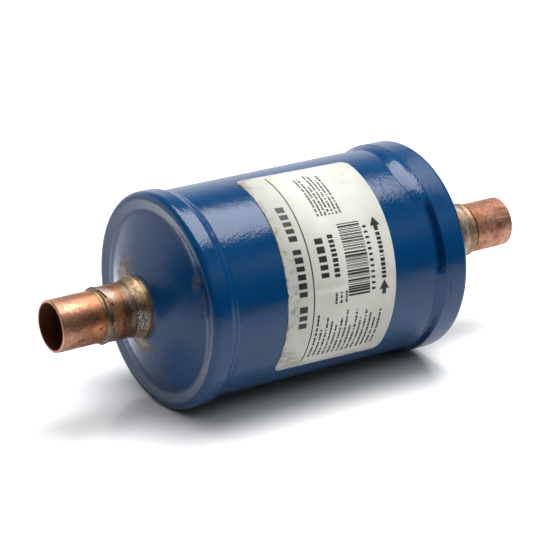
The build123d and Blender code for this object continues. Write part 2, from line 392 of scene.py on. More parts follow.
def keep(shape, name, look, slot, *replaced):
    """Make a finished shape an object that rides on the body and stands for the named nodes."""
    mesh = bpy.data.meshes.new(name)
    shape.to_mesh(mesh)
    shape.free()
    mesh.materials.append(look)
    for face in mesh.polygons:
        face.use_smooth = True
    piece = bpy.data.objects.new(name, mesh)
    bpy.context.collection.objects.link(piece)
    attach(piece, "root")
    if replaced:
        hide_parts(*replaced)
    print(name, len(mesh.polygons), "faces")


def dress(look, *names):
    """Give CAD nodes their finish."""
    for name in names:
        finishes = nodes[name].data.materials
        finishes.clear()
        finishes.append(look)
        print(name, "wears", look.name)


def ring(surface, root, rows):
    """A closed ring round X. surface(share, angle) gives x, radius and tint across its face, and
    root is the x and radius of its hidden inner edge."""
    shape = bmesh.new()
    tint = shape.verts.layers.float.new(TINT)
    profile = [shape.verts.new((row / rows, -1, 0)) for row in range(rows + 1)]
    profile.append(shape.verts.new((0.5, -0.5, 0)))
    edges = [shape.edges.new(pair) for pair in zip(profile, profile[1:] + profile[:1])]
    bmesh.ops.spin(
        shape,
        geom=profile + edges,
        cent=(0, 0, 0),
        axis=(1, 0, 0),
        angle=math.tau,
        steps=RING_STEPS,
        use_merge=True,
    )
    for vert in shape.verts:
        angle = math.degrees(math.atan2(vert.co.z, -vert.co.y))
        on_face = math.hypot(vert.co.y, vert.co.z) > 0.75
        x, radius, vert[tint] = surface(vert.co.x, angle) if on_face else (*root, 0)
        vert.co = Vector(spot(x, angle, radius)) * MM
    bmesh.ops.recalc_face_normals(shape, faces=shape.faces)
    return shape


def lump(angle, middle, reach):
    """A smooth rise to 1 round one angle, reach degrees to each side."""
    turn = (angle - middle + 180) % 360 - 180
    return math.exp(-((turn / reach) ** 2) * 2)


def rough(x, angle, radius, size, seed):
    """Noise from -1 to 1 with lumps size millimetres across, on a round surface."""
    return noise.noise(Vector(spot(x, angle, radius)) / size + Vector((seed, 0, 0)))


def eased(share):
    """0 to 1 with soft ends."""
    share = min(max(share, 0), 1)
    return share * share * (3 - 2 * share)


def bump_at(value, middle, reach):
    """A smooth rise to 1 at middle."""
    return math.exp(-(((value - middle) / reach) ** 2))


# %% [markdown]
# ## Glossy paint
# One navy enamel covers the shell, caps and welds. It was sprayed, so it has a fine waviness, which
# breaks up the edges of every reflection, and dust under the gloss. A bump from two sizes of noise
# gives that on any curve. At both necks the heat of brazing burnt it. Old flux, small marks, a
# dulled patch and a few dark patches of painted shade and painted reflection sit at places of their
# own, given by x, angle and radius, so that they stay put when the noise changes. The outlet bead's
# valley gets painted shade: there the enamel is darker and duller.

# %% Paint
NAVY = (0.0008, 0.040, 0.124)
NAVY_DEEP = (0.0006, 0.034, 0.108)
# Painted shade: the darker, duller navy of the outlet bead's valley.
NAVY_PAINTED_SHADE = (0.0002, 0.014, 0.052)
# Dark navy: a painted reflection in the inlet groove, a crater's painted shade, a thin skirt line.
DARK_MARK_AND_SHADE = (0.0, 0.012, 0.045)
BROWN_PATCH = (0.035, 0.028, 0.05)
DUST = (0.12, 0.17, 0.24)
BURNT = (0.035, 0.024, 0.016)
TARNISHED = (0.40, 0.27, 0.14)
SCORCH = (0.055, 0.034, 0.018)
FLUX_EDGE = (0.085, 0.055, 0.03)
OLD_FLUX = (0.26, 0.21, 0.13)
SINGE_START = 2.7
SINGE_END = 0.5


def paint_look(name, seed, marks_and_shade=(), dulled=(), singed=None, valley_shaded=False):
    """Navy enamel. Each of marks_and_shade is (centre, reach, colour), each dulled one (centre, reach).
    It burns to bare, tarnished metal along X where singed. Where valley_shaded, the enamel gets
    painted shade: it is darker and duller where the mesh carries a tint."""
    look, tree, place = begin(name)
    cloud = grain(tree, place, 14, seed, 2)
    color = mix(tree, ramp(tree, cloud, 0.35, 0.65), NAVY_DEEP, NAVY)
    dust = ramp(tree, grain(tree, place, 0.55, seed + 1, 1), 0.76, 0.82)
    color = mix(tree, times(tree, dust, 0.2), color, DUST)
    fine = grain(tree, place, 0.75, seed + 3, 2)
    waves = calc(tree, "MULTIPLY_ADD", grain(tree, place, 2.4, seed + 2, 1), 0.7, fine)
    gloss = ramp(tree, grain(tree, place, 3, seed + 4), 0.3, 0.75, 0.11, 0.18)
    for index, (centre, reach) in enumerate(dulled):
        gloss = mix(tree, patch(tree, place, centre, reach, 0.3, seed + 30 + index, 0.8), gloss, 0.42)
    crust = ramp(tree, grain(tree, place, 0.7, seed + 9, 4), 0.28, 0.55)
    metallic = 0.0
    if singed:
        edge, end = singed
        wander = ramp(tree, grain(tree, place, 2.6, seed + 8, 3), 0.25, 0.75, -0.2, 0.2)
        share = calc(tree, "ADD", along(tree, place, edge, end), wander)
        brown = ramp(tree, share, 0.25, 0.6)
        metallic = ramp(tree, share, 0.8, 0.95)
        color = mix(tree, brown, color, BURNT)
        color = mix(tree, metallic, color, TARNISHED)
        gloss = mix(tree, brown, gloss, 0.4)
    # Flux, scorch and small marks, and dark patches of painted shade and painted reflection.
    for index, (centre, reach, patch_color) in enumerate(marks_and_shade):
        mask = times(tree, patch(tree, place, centre, reach, 0.4, seed + 10 + index, 0.4), crust)
        color = mix(tree, mask, color, patch_color)
        gloss = mix(tree, mask, gloss, 0.5)
        waves = mix(tree, mask, waves, times(tree, crust, 2.0))
    shine = 0.5
    # Painted shade: where the mesh carries a tint, the enamel is darker and reflects less.
    if valley_shaded:
        depth = add(tree, "Attribute", attribute_name=TINT).outputs["Fac"]
        color = mix(tree, depth, color, NAVY_PAINTED_SHADE)
        shine = mix(tree, depth, 0.5, 0.12)
    shade(tree, color, gloss, metallic, waves, 0.07, shine)
    return look


paint = paint_look("navy_enamel", 0)
# The weld enamel takes painted shade where the mesh carries a tint.
weld_paint = paint_look("navy_enamel_weld", 10, valley_shaded=True)
inlet_paint = paint_look(
    "navy_enamel_inlet",
    20,
    [
        (spot(INLET_CAP + 3.2, 142, 13.6), (3.0, 6.0, 5.0), FLUX_EDGE),
        (spot(INLET_CAP + 3.2, 145, 13.8), (2.0, 3.6, 2.9), OLD_FLUX),
        (spot(INLET_CAP + 3.0, -90, 13.2), (2.8, 6.2, 3.2), FLUX_EDGE),
        (spot(INLET_CAP + 2.8, -88, 12.8), (1.9, 4.2, 2.0), OLD_FLUX),
        # A dull brown patch in the groove.
        (spot(INLET_CAP + 8.6, 31, 30.2), (1.2, 1.5, 3.2), BROWN_PATCH),
        # A painted reflection: the dark oval seen in the groove.
        (spot(INLET_CAP + 8.7, 16.5, 31.0), (1.0, 1.2, 4.8), DARK_MARK_AND_SHADE),
    ],
    singed=(INLET_CAP + SINGE_START, INLET_CAP + SINGE_END),
)
outlet_paint = paint_look(
    "navy_enamel_outlet",
    40,
    [
        (spot(OUTLET_CAP - 2, 60, 12.4), (2, 3, 3), SCORCH),
        # Painted shade in the small crater where the welder stopped, with rougher relief.
        (spot(OUTLET_SKIRT + 1.3, 4.1, CAP_RADIUS), (0.5, 1.0, 0.9), DARK_MARK_AND_SHADE),
        (spot(OUTLET_SKIRT + 2.4, -9.5, CAP_RADIUS), (0.3, 2.5, 4.2), DARK_MARK_AND_SHADE),
    ],
    dulled=[(spot(OUTLET_SKIRT + 6, 60, CAP_RADIUS), (6, 12, 10))],
    singed=(OUTLET_CAP - SINGE_START, OUTLET_CAP - SINGE_END),
)
dress(paint, "shell_tube")
dress(inlet_paint, "inlet_cap")
dress(outlet_paint, "outlet_cap")

# %% [markdown]
# ## Weld beads
# Each cap is welded to the shell all the way round. The inlet bead is even, with faint ripples. The
# outlet bead was laid by hand: wide and full near the top, a valley on the flank, and a small crater
# where the welder stopped. The enamel in the valley is painted darker and duller, as painted shade.
# Bump alone would leave the highlight straight, so the beads are real shapes. Each is a sum of smooth
# rises at named angles.

# %% Welds
WELD_SINK = 0.35
WELD_TUCK = 0.04
WELD_START = CAP_RADIUS - WELD_TUCK
WELD_ROWS = 22
WELD_TRACK = 37  # the radius at which the noise round a weld is read
BITE = 0.3
FILM = 0.03
CREASE_ANGLE = -12
FULL_ANGLE = 62
FLANK_HIGH = 48
FLANK_LOW = 3
CRATER_ANGLE = 5.2
LOW_VALLEY_ANGLE = -42


def inlet_weld(share, angle):
    """An even bead, flush with the skirt, with a ridge along its toe and a crease on the low flank."""
    length = 3.8 + 0.25 * rough(0, angle, WELD_TRACK, 9, 1) + 0.4 * lump(angle, CREASE_ANGLE, 25)
    x = INLET_SKIRT - BITE + (length + BITE) * share
    fall = (WELD_START - SHELL_RADIUS) * (1 - eased((share - 0.05) / 0.62))
    crown = math.sin(math.pi * min(1, max(0, share - 0.2) / 0.8))
    bead = (0.46 + 0.10 * rough(x, angle, WELD_TRACK, 5, 2)) * crown
    crease = (0.12 + 0.16 * lump(angle, CREASE_ANGLE, 24)) * bump_at(share, 0.48, 0.10)
    ripple = 0.05 * rough(x * 0.4, angle, WELD_TRACK, 1.3, 3) + 0.04 * rough(x, angle, WELD_TRACK, 0.8, 4)
    radius = SHELL_RADIUS - FILM + fall + bead - crease + ripple * math.sin(math.pi * share)
    return x, min(radius, WELD_START), 0


def outlet_weld(share, angle):
    """A hand-laid bead: full near the top, a valley on the flank with painted shade, then a crater."""
    wide = lump(angle, FULL_ANGLE, 30)
    flank = eased((FLANK_HIGH - angle) / 9) * eased((angle - FLANK_LOW) / 5)
    valley = max(flank, 0.8 * lump(angle, LOW_VALLEY_ANGLE, 24)) * (1 - 0.5 * wide)
    length = 3.8 + 3.6 * wide + 0.3 * rough(0, angle, WELD_TRACK, 6, 11)
    reach = (length + BITE) * share
    x = OUTLET_SKIRT + BITE - reach
    drop = WELD_START - SHELL_RADIUS
    swell = math.sin(math.pi * share)
    fillet = drop * (1 - share) ** 1.1 + (0.22 + 0.34 * wide) * swell
    step = drop * (1 - eased((reach - BITE) / 2.3)) + 0.05 * swell
    lumps = 0.09 * rough(3 * x, angle, WELD_TRACK, 5, 12)
    lumps += 0.035 * rough(4 * x, angle, WELD_TRACK, 2, 13)
    rise = fillet + (step - fillet) * valley + lumps * (0.5 + wide) * swell
    rise -= 0.3 * lump(angle, CRATER_ANGLE, 1.6) * bump_at(reach, 1.3, 0.5)
    # Painted shade: the tint that darkens and dulls the enamel along the valley.
    valley_shade = valley * eased(reach / 0.5) * (1 - eased((reach - 1.8) / 2.4))
    return x, min(SHELL_RADIUS - FILM + rise, WELD_START), min(1, 1.2 * valley_shade)


keep(
    ring(inlet_weld, (INLET_SKIRT - BITE, SHELL_RADIUS - WELD_SINK), WELD_ROWS),
    "inlet_bead", weld_paint, "weld_paint", "inlet_cap_weld",
)
keep(
    ring(outlet_weld, (OUTLET_SKIRT + BITE, SHELL_RADIUS - WELD_SINK), WELD_ROWS),
    "outlet_bead", weld_paint, "weld_paint", "outlet_cap_weld",
)

# %% [markdown]
# ## Copper and nipples
# Each end is a soft copper socket on a copper-plated nipple. Heat has drawn bands of colour along
# them, strongest beside the braze. A plain noise can't put a band beside a joint, so a share along
# each piece, blurred by noise, picks the colour. Stains, pits and scratches sit at their own
# places, and the inside of each socket is dark with oxide.

# %% Copper look
BORE_EDGE = 8.4
BORE_RISE = 0.1
BORE_FALL = 0.2
CLOUDED = (0.33, 0.145, 0.085)
SPECKLED = (0.26, 0.11, 0.065)
RING_MARK = (0.07, 0.035, 0.02)
OXIDE = (0.32, 0.12, 0.06)
SOOT = (0.020, 0.014, 0.011)


def heat_share(tree, place, start, end, seed, blur):
    """0 at start, 1 at end along X in millimetres, blurred by blur."""
    shift = ramp(tree, grain(tree, place, 5, seed, 4), 0.25, 0.75, -blur, blur)
    return calc(tree, "ADD", along(tree, place, start, end), shift)


def reach_from_axis(tree, place):
    """Distance from the X axis, in metres."""
    flat = add(tree, "VectorMath", operation="MULTIPLY")
    tree.links.new(place, flat.inputs[0])
    flat.inputs[1].default_value = (0, 1, 1)
    return distance(tree, flat.outputs[0])


def copper_look(name, start, end, stops, stains, seed, gloss, bore=False, ringed=0.0):
    """Tarnished copper. stops colour it from start to end along X, and each stain is (centre, reach,
    colour). gloss is its least and most roughness, bore darkens the inside, and ringed is the
    strength of the marks that run round it."""
    look, tree, place = begin(name)
    share = heat_share(tree, place, start, end, seed, 0.07)
    color = colors(tree, share, *stops)
    cloud = ramp(tree, grain(tree, place, 4.5, seed + 1, 5), 0.35, 0.65)
    color = mix(tree, times(tree, cloud, 0.65), color, CLOUDED)
    speckle = ramp(tree, grain(tree, place, 0.9, seed + 2, 4), 0.42, 0.62)
    color = mix(tree, times(tree, speckle, 0.40), color, SPECKLED)
    rings = grain(tree, stretched(tree, place, (1.0, 0.12, 0.12)), 0.7, seed + 8, 3)
    color = mix(tree, ramp(tree, rings, 0.5, 0.68, 0.0, ringed), color, RING_MARK)
    color = mix(tree, ramp(tree, rings, 0.45, 0.3, 0.0, ringed), color, ORANGE)
    drawn = grain(tree, stretched(tree, place, (0.25, 1.0, 1.0)), 0.5, seed + 3, 3)
    sheen = calc(tree, "ADD", ramp(tree, drawn, 0.3, 0.7, *gloss), times(tree, cloud, 0.08))
    for index, (centre, reach, stain) in enumerate(stains):
        mask = patch(tree, place, centre, reach, 0.4, seed + 5 + index, 0.75)
        mask = times(tree, mask, ramp(tree, speckle, 0.0, 1.0, 0.6, 1.0))
        color = mix(tree, mask, color, stain)
        sheen = mix(tree, mask, sheen, 0.5)
    pits = ramp(tree, grain(tree, place, 0.8, seed + 4, 1), 0.76, 0.80)
    color = mix(tree, pits, color, SOOT)
    if bore:
        around = reach_from_axis(tree, place)
        inside = ramp(tree, around, (BORE_EDGE + BORE_RISE) * MM, (BORE_EDGE - BORE_FALL) * MM)
        color = mix(tree, inside, color, OXIDE)
        sheen = mix(tree, inside, sheen, 0.5)
    relief = calc(tree, "MULTIPLY_ADD", speckle, -0.3, calc(tree, "SUBTRACT", drawn, pits))
    shade(tree, color, sheen, 0.95, relief, 0.04)
    return look


def inlet(reach, angle, radius=TUBE_RADIUS):
    """A place reach millimetres in from the inlet mouth."""
    return spot(INLET_MOUTH + reach, angle, radius)


def outlet(reach, angle, radius=TUBE_RADIUS):
    """A place reach millimetres in from the outlet mouth."""
    return spot(OUTLET_MOUTH - reach, angle, radius)


# %% Copper colours
BRIGHT = (0.78, 0.43, 0.30)
SALMON = (0.68, 0.33, 0.22)
ORANGE = (0.62, 0.25, 0.11)
BROWN = (0.20, 0.09, 0.045)
GOLD = (0.72, 0.50, 0.24)
GREY_GREEN = (0.30, 0.29, 0.22)
PALE = (0.74, 0.72, 0.61)
DULL_GREEN = (0.40, 0.385, 0.30)

# %% Copper tubes
inlet_copper = copper_look(
    "inlet_copper",
    INLET_MOUTH,
    INLET_STEP,
    [
        (0.0, BRIGHT), (0.35, SALMON), (0.62, (0.55, 0.24, 0.13)),
        (0.8, ORANGE), (1.0, (0.32, 0.12, 0.05)),
    ],
    [
        (inlet(10.5, 20), (4.2, 2.0, 2.0), (0.16, 0.07, 0.04)),
        (inlet(5.5, 8), (3.6, 2.0, 1.2), (0.20, 0.10, 0.06)),
        (inlet(14.0, -6), (0.5, 0.6, 0.6), SOOT),
        (inlet(12.5, 19), (0.5, 0.6, 0.5), SOOT),
        (inlet(6.9, -25), (1.4, 1.2, 0.5), (0.10, 0.05, 0.03)),
        (inlet(3.0, 30), (1.0, 1.4, 2.5), (0.35, 0.17, 0.10)),
        (inlet(13.0, 55), (2.6, 2.2, 2.2), (0.36, 0.18, 0.11)),
        (inlet(6.0, 75), (6.0, 3.0, 1.6), (0.34, 0.17, 0.11)),
        (inlet(15.6, 20), (0.8, 1.4, 3.0), (0.46, 0.17, 0.06)),
    ],
    60,
    (0.29, 0.43),
    bore=True,
)
outlet_copper = copper_look(
    "outlet_copper",
    OUTLET_MOUTH,
    OUTLET_STEP,
    [
        (0.0, BRIGHT), (0.5, (0.77, 0.41, 0.28)), (0.8, (0.74, 0.36, 0.21)),
        (0.93, ORANGE), (0.98, SOOT), (1.0, GOLD),
    ],
    [
        (outlet(5.7, 14), (1.5, 1.0, 1.0), (0.20, 0.09, 0.055)),
        (outlet(3.9, 52), (3.2, 0.7, 0.6), (0.16, 0.07, 0.045)),
        (outlet(7.5, 68), (8.0, 4.0, 3.0), (0.32, 0.14, 0.085)),
        (outlet(4.0, 30.5), (3.0, 0.22, 0.2), (0.98, 0.80, 0.70)),
        (outlet(9.9, 5), (0.7, 0.6, 0.6), SOOT),
        (outlet(12.5, -25), (2.4, 1.6, 1.6), (0.30, 0.15, 0.09)),
    ],
    80,
    (0.46, 0.60),
    bore=True,
)
dress(inlet_copper, "inlet_tube")
dress(outlet_copper, "outlet_tube")

# %% Nipples
inlet_nipple = copper_look(
    "inlet_nipple_plate",
    INLET_STEP,
    INLET_CAP,
    [
        (0.0, (0.34, 0.17, 0.09)), (0.28, (0.46, 0.20, 0.09)), (0.42, (0.22, 0.11, 0.06)),
        (0.54, (0.15, 0.12, 0.08)), (0.66, GREY_GREEN), (0.78, (0.14, 0.11, 0.08)), (1.0, BROWN),
    ],
    [
        (inlet(20.5, 18, 9.5), (2.2, 2.0, 2.2), (0.48, 0.20, 0.09)),
        (inlet(24.4, 14, 9.5), (1.6, 2.5, 4.4), (0.085, 0.055, 0.035)),
        (inlet(22.6, -4, 9.5), (0.5, 0.8, 1.6), (0.07, 0.035, 0.02)),
        (inlet(19.5, 38, 9.6), (0.8, 0.8, 1.0), SOOT),
    ],
    100,
    (0.32, 0.46),
    ringed=0.75,
)
outlet_nipple = copper_look(
    "outlet_nipple_plate",
    OUTLET_STEP,
    OUTLET_STEP - 10,
    [
        (0.0, (0.50, 0.34, 0.17)), (0.12, (0.40, 0.26, 0.15)), (0.24, DULL_GREEN), (0.36, PALE),
        (0.46, DULL_GREEN), (0.54, (0.60, 0.40, 0.22)), (0.7, BROWN), (1.0, SOOT),
    ],
    [],
    120,
    (0.42, 0.55),
    ringed=0.5,
)
dress(inlet_nipple, "inlet_nipple")
dress(outlet_nipple, "outlet_nipple")

# %% [markdown]
# ## Brazed joints
# Braze metal was fed round each step and neck. It flowed and froze in beads, so its edges wander,
# and its skin is granular. Its tint runs from silver through gold to soot. The tint is worked out
# with the shape, because both follow how the metal ran, and the finish reads it from the points.
# Round the top of each neck the tint is pale gold, in part the braze's own colour and in part a
# painted highlight. Patches of round cells stand for drops that froze side by side.

# %% Braze look
GRIT = (0.08, 0.05, 0.03)
SCALE_BROWN = (0.16, 0.10, 0.055)
BETWEEN_DROPS = (0.20, 0.17, 0.14)
DROP_SIZE = 0.62
DRIP_ANGLE = -34


def braze_look(name, seed, stops, grains):
    """Braze metal, coloured by its tint. Each of grains is (centre, reach, colour) of frozen drops."""
    look, tree, place = begin(name)
    made = add(tree, "Attribute", attribute_name=TINT)
    blur = ramp(tree, grain(tree, place, 2.0, seed, 5), 0.25, 0.75, -0.16, 0.16)
    color = colors(tree, calc(tree, "ADD", made.outputs["Fac"], blur), *stops)
    grit = grain(tree, place, 0.4, seed + 1, 3)
    color = mix(tree, ramp(tree, grit, 0.46, 0.30, 0.0, 0.65), color, GRIT)
    scale = ramp(tree, grain(tree, place, 1.2, seed + 4, 5), 0.50, 0.66, 0.0, 0.6)
    color = mix(tree, scale, color, SCALE_BROWN)
    relief = calc(tree, "MULTIPLY_ADD", grain(tree, place, 1.3, seed + 2, 2), 1.2, grit)
    sheen = ramp(tree, grit, 0.3, 0.7, 0.40, 0.58)
    cells = add(tree, "TexVoronoi", Scale=1 / (DROP_SIZE * MM))
    tree.links.new(place, cells.inputs["Vector"])
    domes = ramp(tree, cells.outputs["Distance"], 0.62, 0.15)
    for index, (centre, reach, metal) in enumerate(grains):
        mask = patch(tree, place, centre, reach, 0.35, seed + 5 + index, 0.35)
        color = mix(tree, mask, color, mix(tree, domes, BETWEEN_DROPS, metal))
        relief = mix(tree, mask, relief, times(tree, domes, 2.2))
    shade(tree, color, sheen, 0.92, relief, 0.12)
    return look


# %% Braze finishes
SILVER = (0.50, 0.40, 0.365)
PALE_GOLD = (0.52, 0.36, 0.20)
tube_braze = braze_look(
    "tube_braze",
    140,
    [
        (0.0, SILVER), (0.22, (0.50, 0.35, 0.25)), (0.42, (0.44, 0.28, 0.16)),
        (0.62, (0.22, 0.16, 0.10)), (0.9, SOOT),
    ],
    [
        (spot(INLET_STEP + 1.3, DRIP_ANGLE, 9.4), (2.3, 5.0, 3.6), (0.70, 0.63, 0.48)),
        (spot(INLET_STEP + 1.6, -7, 9.4), (1.3, 1.6, 1.6), (0.78, 0.72, 0.58)),
    ],
)
neck_braze = braze_look(
    "neck_braze",
    150,
    [
        (0.0, (0.62, 0.48, 0.32)), (0.25, PALE_GOLD), (0.48, (0.34, 0.235, 0.13)),
        (0.68, (0.17, 0.115, 0.065)), (0.95, SOOT),
    ],
    [
        (spot(INLET_CAP - 1.9, -6, 10.4), (2.3, 3.6, 3.3), (0.90, 0.86, 0.76)),
        (spot(INLET_CAP - 1.4, -58, 10.6), (2.4, 5.4, 3.2), (0.56, 0.48, 0.34)),
    ],
)
print("braze finishes:", tube_braze.name, neck_braze.name)

# %% Tube brazes
BRAZE_ROWS = 46
OVERLAP = 0.02
TUBE_TRACK = 9  # the radius at which the noise round a tube's braze is read
PLATE_ANGLE = 64
CRACK_LOW = 37
CRACK_HIGH = 84
CRACK_BEND = 82
CRACK_SPAN = 42


def on_step(x, step, side):
    """The radius under a bead: the nipple behind the step and the tube in front of it."""
    return TUBE_RADIUS + (NIPPLE_RADIUS - TUBE_RADIUS) * eased((x - step) * side / 0.5 + 0.5)


def inlet_tube_bead(share, angle):
    """Braze over the inlet's step, with a broad plate of silver near the top and a crack along it."""
    plate = lump(angle, PLATE_ANGLE, 34)
    drip = lump(angle, DRIP_ANGLE, 30)
    front = INLET_STEP - 1.3 + 0.2 * rough(0, angle, TUBE_TRACK, 2.2, 21) + 0.8 * drip
    back = INLET_STEP + 1.8 + 0.3 * rough(5, angle, TUBE_TRACK, 1.8, 22) + 3.4 * plate + 1.3 * drip
    x = front + (back - front) * share
    turn = max(0, CRACK_BEND - angle) / CRACK_SPAN
    crack_x = INLET_STEP + 0.55 + 1.9 * turn * turn
    crack = bump_at(x, crack_x, 0.28 + 0.50 * turn) if CRACK_LOW < angle < CRACK_HIGH else 0
    crown = bump_at(x, INLET_STEP + 0.2, 1.5) * (0.30 + 0.10 * rough(x, angle, TUBE_TRACK, 2.5, 23))
    skin = 0.14 * plate + 0.05 + 0.04 * rough(x, angle, TUBE_TRACK, 0.9, 24)
    edge = math.sin(math.pi * min(max(share, 0), 1)) ** 0.5
    radius = on_step(x, INLET_STEP, 1) - OVERLAP + (crown + skin) * edge - 0.35 * crack
    tint = 0.60 - 0.20 * plate - 0.42 * eased((plate - 0.2) / 0.3) * eased((x - crack_x) / 0.5)
    tint += 0.12 * lump(angle, 14, 16) - 0.1 * drip
    tint += 0.4 * lump(angle, -20, 40) * bump_at(share, 0, 0.08)
    return x, radius, max(tint, 1.3 * crack)


def outlet_tube_bead(share, angle):
    """A low, even ring of braze over the outlet's step."""
    front = OUTLET_STEP + 1.2 + 0.2 * rough(0, angle, TUBE_TRACK, 2, 31)
    back = OUTLET_STEP - 1.6 + 0.3 * rough(5, angle, TUBE_TRACK, 2, 32)
    x = front + (back - front) * share
    crown = 0.26 + 0.10 * rough(x, angle, TUBE_TRACK, 2, 33)
    radius = on_step(x, OUTLET_STEP, -1) - OVERLAP + crown * math.sin(math.pi * share)
    return x, radius, 0.90 - 0.5 * eased(share / 0.5) + 0.12 * rough(x, angle, TUBE_TRACK, 1.5, 34)


keep(
    ring(inlet_tube_bead, (INLET_STEP, TUBE_RADIUS - BITE), BRAZE_ROWS),
    "inlet_tube_bead", tube_braze, "braze", "inlet_tube_braze",
)
keep(
    ring(outlet_tube_bead, (OUTLET_STEP, TUBE_RADIUS - BITE), BRAZE_ROWS),
    "outlet_tube_bead", tube_braze, "braze", "outlet_tube_braze",
)

# %% Neck brazes
NECK_TRACK = 10  # the radius at which the noise round a neck's braze is read
NECK_BITE = 0.25
DROPS_ANGLE = -10
GOLD_HIGHLIGHT_ANGLE = 62
SOOT_ANGLE = 19


def neck_bead(share, angle, side, neck_end, seed):
    """The hollow fillet between a cap's neck and its nipple. side is -1 at the inlet, 1 at the outlet."""
    length = 3.9 + 0.5 * rough(0, angle, NECK_TRACK, 3, seed) + 0.6 * lump(angle, DROPS_ANGLE, 30)
    x = neck_end - side * (NECK_BITE - (length + NECK_BITE) * share)
    hollow = (1 - share) ** 1.6
    radius = NIPPLE_RADIUS - OVERLAP + (NECK_RADIUS - 0.05 - NIPPLE_RADIUS) * hollow
    radius += (0.22 + 0.16 * rough(x, angle, NECK_TRACK, 1.4, seed + 1)) * math.sin(math.pi * share)
    # Round the top the tint falls to pale gold: partly the braze's own colour, partly a painted highlight.
    tint = 0.62 - 0.40 * lump(angle, GOLD_HIGHLIGHT_ANGLE, 46) - 0.25 * bump_at(share, 0.1, 0.08)
    tint += 0.25 * lump(angle, SOOT_ANGLE, 8) + 0.35 * eased((share - 0.8) / 0.2)
    return x, radius, tint


keep(
    ring(
        lambda share, angle: neck_bead(share, angle, -1, INLET_CAP, 41),
        (INLET_CAP - 1, NIPPLE_RADIUS - BITE),
        BRAZE_ROWS,
    ),
    "inlet_neck_bead", neck_braze, "braze", "inlet_nipple_braze",
)
keep(
    ring(
        lambda share, angle: neck_bead(share, angle, 1, OUTLET_CAP, 51),
        (OUTLET_CAP + 1, NIPPLE_RADIUS - BITE),
        BRAZE_ROWS,
    ),
    "outlet_neck_bead", neck_braze, "braze", "outlet_nipple_braze",
)

# %% [markdown]
# ## The label
# A foil label is stuck round the shell, a few degrees askew. It could be cut from the shell's own
# faces, but its corners and its nick would then be ragged. So it is cut flat, with x across it and
# y up it, sliced across, and bent. The flat coordinates stay on it as a UV map in millimetres,
# which the wear follows: its left edge and two of its corners are grubby where it was handled.

# %% Label sheet
LABEL_WIDTH = 44.8
LABEL_HEIGHT = 81.5
LABEL_CORNER = 3.0
LABEL_SKEW = math.radians(3)
LABEL_THICK = 0.15
LABEL_X = -1.7
LABEL_ANGLE = math.radians(25)
NICK_UP = -10.0
NICK_WIDE = 1.3
NICK_DEEP = 0.8
STRIP = 1.0
OFF_GRID = 0.013
FLAT = "flat"


def cut_strips(shape, low, high):
    """Cut a flat shape across every millimetre of its height, so that it can bend."""
    for step in range(math.ceil(low / STRIP), math.floor(high / STRIP) + 1):
        bmesh.ops.bisect_plane(
            shape,
            geom=shape.verts[:] + shape.edges[:] + shape.faces[:],
            dist=1e-5,
            plane_co=(0, step * STRIP + OFF_GRID, 0),
            plane_no=(0, 1, 0),
        )


def bend(shape, lift):
    """Bend a flat shape round the shell, lift millimetres above it, and turn it to metres."""
    for vert in shape.verts:
        across, up = vert.co.x, vert.co.y
        shift = across * math.cos(LABEL_SKEW) + up * math.sin(LABEL_SKEW)
        rise = up * math.cos(LABEL_SKEW) - across * math.sin(LABEL_SKEW)
        angle = math.degrees(LABEL_ANGLE + rise / SHELL_RADIUS)
        vert.co = Vector(spot(LABEL_X + shift, angle, SHELL_RADIUS + lift + vert.co.z)) * MM


def label_shape():
    """The foil label, with rounded corners and a nick in its left edge."""
    shape = bmesh.new()
    bmesh.ops.create_grid(shape, x_segments=1, y_segments=1, size=0.5)
    bmesh.ops.scale(shape, verts=shape.verts, vec=(LABEL_WIDTH, LABEL_HEIGHT, 1))
    bmesh.ops.bevel(
        shape, geom=shape.verts[:], offset=LABEL_CORNER, offset_type="OFFSET", affect="VERTICES",
        segments=8, profile=0.5, material=-1,
    )
    cut_strips(shape, -LABEL_HEIGHT / 2, LABEL_HEIGHT / 2)
    for vert in shape.verts:
        if vert.co.x < 0:
            gap = abs(vert.co.y - NICK_UP) / NICK_WIDE
            vert.co.x += NICK_DEEP * max(0, 1 - gap)
    flat = shape.loops.layers.uv.new(FLAT)
    for face in shape.faces:
        for loop in face.loops:
            loop[flat].uv = loop.vert.co.xy
    bmesh.ops.solidify(shape, geom=shape.faces[:], thickness=LABEL_THICK)
    bmesh.ops.translate(shape, verts=shape.verts, vec=(0, 0, LABEL_THICK))
    bmesh.ops.recalc_face_normals(shape, faces=shape.faces)
    return shape


# %% Label finish
FOIL_DARK = (0.52, 0.515, 0.455)
FOIL = (0.58, 0.575, 0.525)
EDGE_DIRT = (0.22, 0.165, 0.10)
CORNER_STAIN = (0.26, 0.20, 0.12)
RIM_GRIME = (0.085, 0.055, 0.03)
SCUFF = (0.20, 0.18, 0.14)
SMUDGE = (0.34, 0.33, 0.30)
LEFT_EDGE = -LABEL_WIDTH / 2


